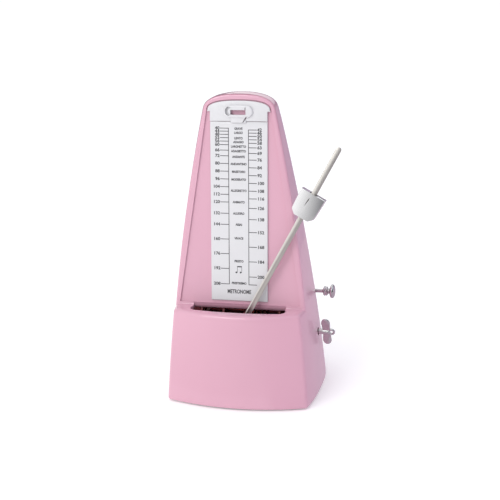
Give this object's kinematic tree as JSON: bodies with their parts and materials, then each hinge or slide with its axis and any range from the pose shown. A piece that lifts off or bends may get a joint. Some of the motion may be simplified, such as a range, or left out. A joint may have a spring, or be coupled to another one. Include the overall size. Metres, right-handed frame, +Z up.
{
  "type": "metronome",
  "caption": "Wind-up pyramid metronome with a leaning scale, a swinging pendulum with a sliding weight, a winding key and a bell knob.",
  "frame": {"origin": "centre of the label pad on the bottom cover's underside, level with the casing's rim and under its middle; the feet reach 1.2 mm below it", "axes": "+Z up, -Y towards the viewer who reads the scale, +X towards the winding key"},
  "size_m": [0.1297, 0.1198, 0.2238],
  "materials": {
    "pink_casing": "high gloss",
    "white_plastic": "satin gloss with dark grey print",
    "dark_plastic": "fine texture",
    "rubber": "matte",
    "chrome": "polished",
    "satin_steel": "satin",
    "brass": "turned",
    "spring_steel": "blued",
    "cast_weight": "as cast"
  },
  "bodies": {
    "case": {"casing": "pink_casing", "scale_plate": "white_plastic", "clip_cap": "white_plastic", "bottom_cover": "dark_plastic", "foot_1": "rubber", "foot_2": "rubber", "foot_3": "rubber", "foot_4": "rubber", "cover_screw_1": "satin_steel", "cover_screw_2": "satin_steel", "cover_screw_3": "satin_steel", "cover_screw_4": "satin_steel", "left_plate": "satin_steel", "centre_plate": "satin_steel", "right_plate": "satin_steel", "pillar_1": "brass", "pillar_2": "brass", "pillar_3": "brass", "pillar_nut_1": "brass", "pillar_nut_2": "brass", "pillar_nut_3": "brass", "spring_post": "satin_steel", "front_bridge": "brass", "rear_bearing": "brass", "mainspring": "spring_steel", "bell": "brass", "bell_bracket": "satin_steel", "bell_screw": "satin_steel", "bell_spacer": "brass", "detent_spring": "satin_steel"},
    "pendulum": {"pendulum_rod": "satin_steel", "pendulum_collet": "brass", "verge_arbor": "satin_steel", "counterweight": "cast_weight"},
    "weight": {"tempo_weight": "chrome", "weight_leaf_spring": "satin_steel"},
    "great_wheel": {"great_wheel": "brass", "click_screw": "satin_steel"},
    "click": {"click": "satin_steel"},
    "winding": {"winding_arbor": "satin_steel", "ratchet_wheel": "satin_steel", "winding_key": "chrome"},
    "escape": {"escape_arbor": "satin_steel", "escape_pinion": "satin_steel", "counting_wheel": "brass", "crown_wheel": "brass"},
    "cams": {"cam_arbor": "satin_steel", "cam_pinion": "satin_steel", "cam_2_beat": "brass", "cam_3_beat": "brass", "cam_4_beat": "brass", "cam_6_beat": "brass"},
    "selector": {"selector_knob": "chrome"},
    "hammer": {"bell_hammer": "brass"}
  },
  "joints": [
    {"name": "pendulum_swing", "type": "hinge", "parent": "case", "child": "pendulum", "pos_m": [0, -0.04041, 0.05237], "axis": [0, 0.9928, -0.12], "range_deg": [-66.5, 9.5]},
    {"name": "weight_slide", "type": "slide", "parent": "pendulum", "child": "weight", "axis": [0.4772, 0.1054, 0.8725], "range_m": [-0.0856, 0.0304]},
    {"name": "great_wheel_turn", "type": "hinge", "parent": "case", "child": "great_wheel", "pos_m": [0, -0.0025, 0.0418], "axis": [1, 0, 0], "continuous": true},
    {"name": "key_turn", "type": "hinge", "parent": "great_wheel", "child": "winding", "pos_m": [0, -0.0025, 0.0418], "axis": [1, 0, 0], "continuous": true},
    {"name": "click_lift", "type": "hinge", "parent": "great_wheel", "child": "click", "pos_m": [0, 0.0101, 0.0368], "axis": [-1, 0, 0], "range_deg": [0, 12], "stiffness_Nm_per_rad": 0.002},
    {"name": "escape_turn", "type": "hinge", "parent": "case", "child": "escape", "pos_m": [0, -0.0261, 0.05064], "axis": [1, 0, 0], "continuous": true},
    {"name": "cam_turn", "type": "hinge", "parent": "case", "child": "cams", "pos_m": [0, -0.0198, 0.06155], "axis": [1, 0, 0], "continuous": true},
    {"name": "knob_pull", "type": "slide", "parent": "case", "child": "selector", "axis": [1, 0, 0], "range_m": [0, 0.012]},
    {"name": "hammer_swing", "type": "hinge", "parent": "selector", "child": "hammer", "pos_m": [0, 0.014, 0.0682], "axis": [-1, 0, 0], "range_deg": [0, 8], "stiffness_Nm_per_rad": 0.01}
  ],
  "couplings": [
    {"joint": "escape_turn", "follows": "great_wheel_turn", "ratio": -6},
    {"joint": "cam_turn", "follows": "great_wheel_turn", "ratio": 15}
  ]
}
